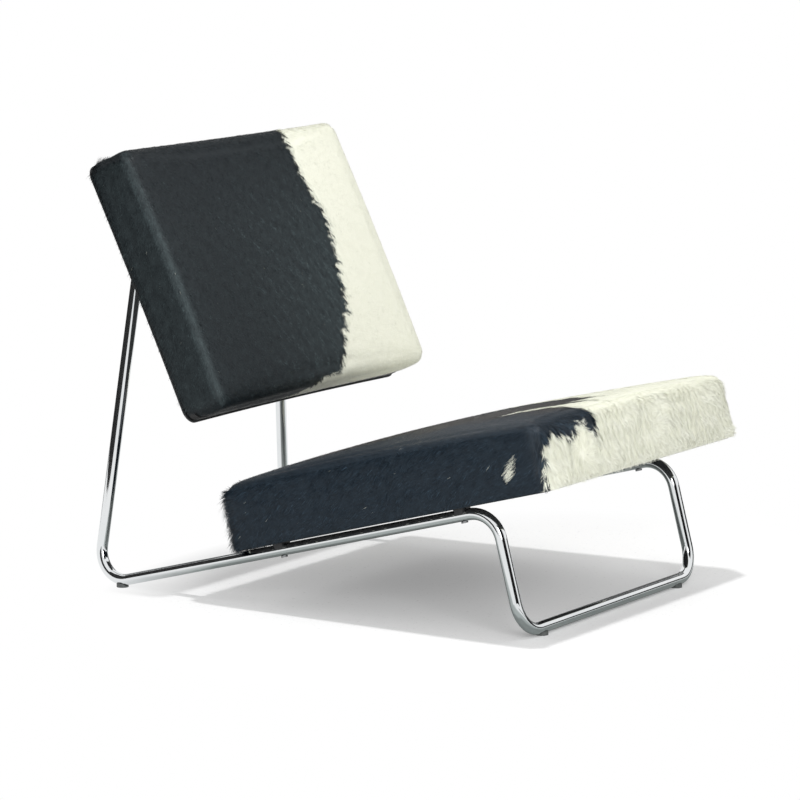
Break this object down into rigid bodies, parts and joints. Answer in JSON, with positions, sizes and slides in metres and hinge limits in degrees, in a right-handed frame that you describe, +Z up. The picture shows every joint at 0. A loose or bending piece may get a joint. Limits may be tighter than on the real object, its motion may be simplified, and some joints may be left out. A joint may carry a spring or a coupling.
{
  "type": "lounge chair",
  "caption": "Low armless lounge chair: one bent chrome tube carries a sloping box seat and a reclined box back, both covered in black and white hair-on hide",
  "frame": {"origin": "on the floor, under the middle of the chair's length and width", "axes": "+Z is up, the sitter faces -Y, and +X is the sitter's left"},
  "size_m": [0.6472, 0.9323, 0.7591],
  "materials": {
    "chrome": "polished chromium plate",
    "steel": "zinc plated",
    "plastic": "moulded, matt",
    "seat_hide": "hair-on hide, black and white",
    "back_hide": "hair-on hide, black and white",
    "foam": "open-cell foam",
    "plywood": "sanded plywood",
    "cloth": "woven lining, black",
    "panel": "cloth-covered fibreboard, black"
  },
  "bodies": {
    "root": {"frame_tube": "chrome", "frame_joint_sleeve": "steel", "seat_screws": "steel", "back_screws": "steel", "right_back_bracket": "steel", "left_back_bracket": "steel", "front_left_glide": "plastic", "front_right_glide": "plastic", "rear_left_glide": "plastic", "rear_right_glide": "plastic", "front_right_saddle": "plastic", "rear_right_saddle": "plastic", "front_left_saddle": "plastic", "rear_left_saddle": "plastic", "seat_cover": "seat_hide", "back_cover": "back_hide", "seat_foam": "foam", "back_foam": "foam", "seat_board": "plywood", "back_board": "plywood", "seat_underside_cloth": "cloth", "back_rear_panel": "panel"}
  },
  "joints": []
}
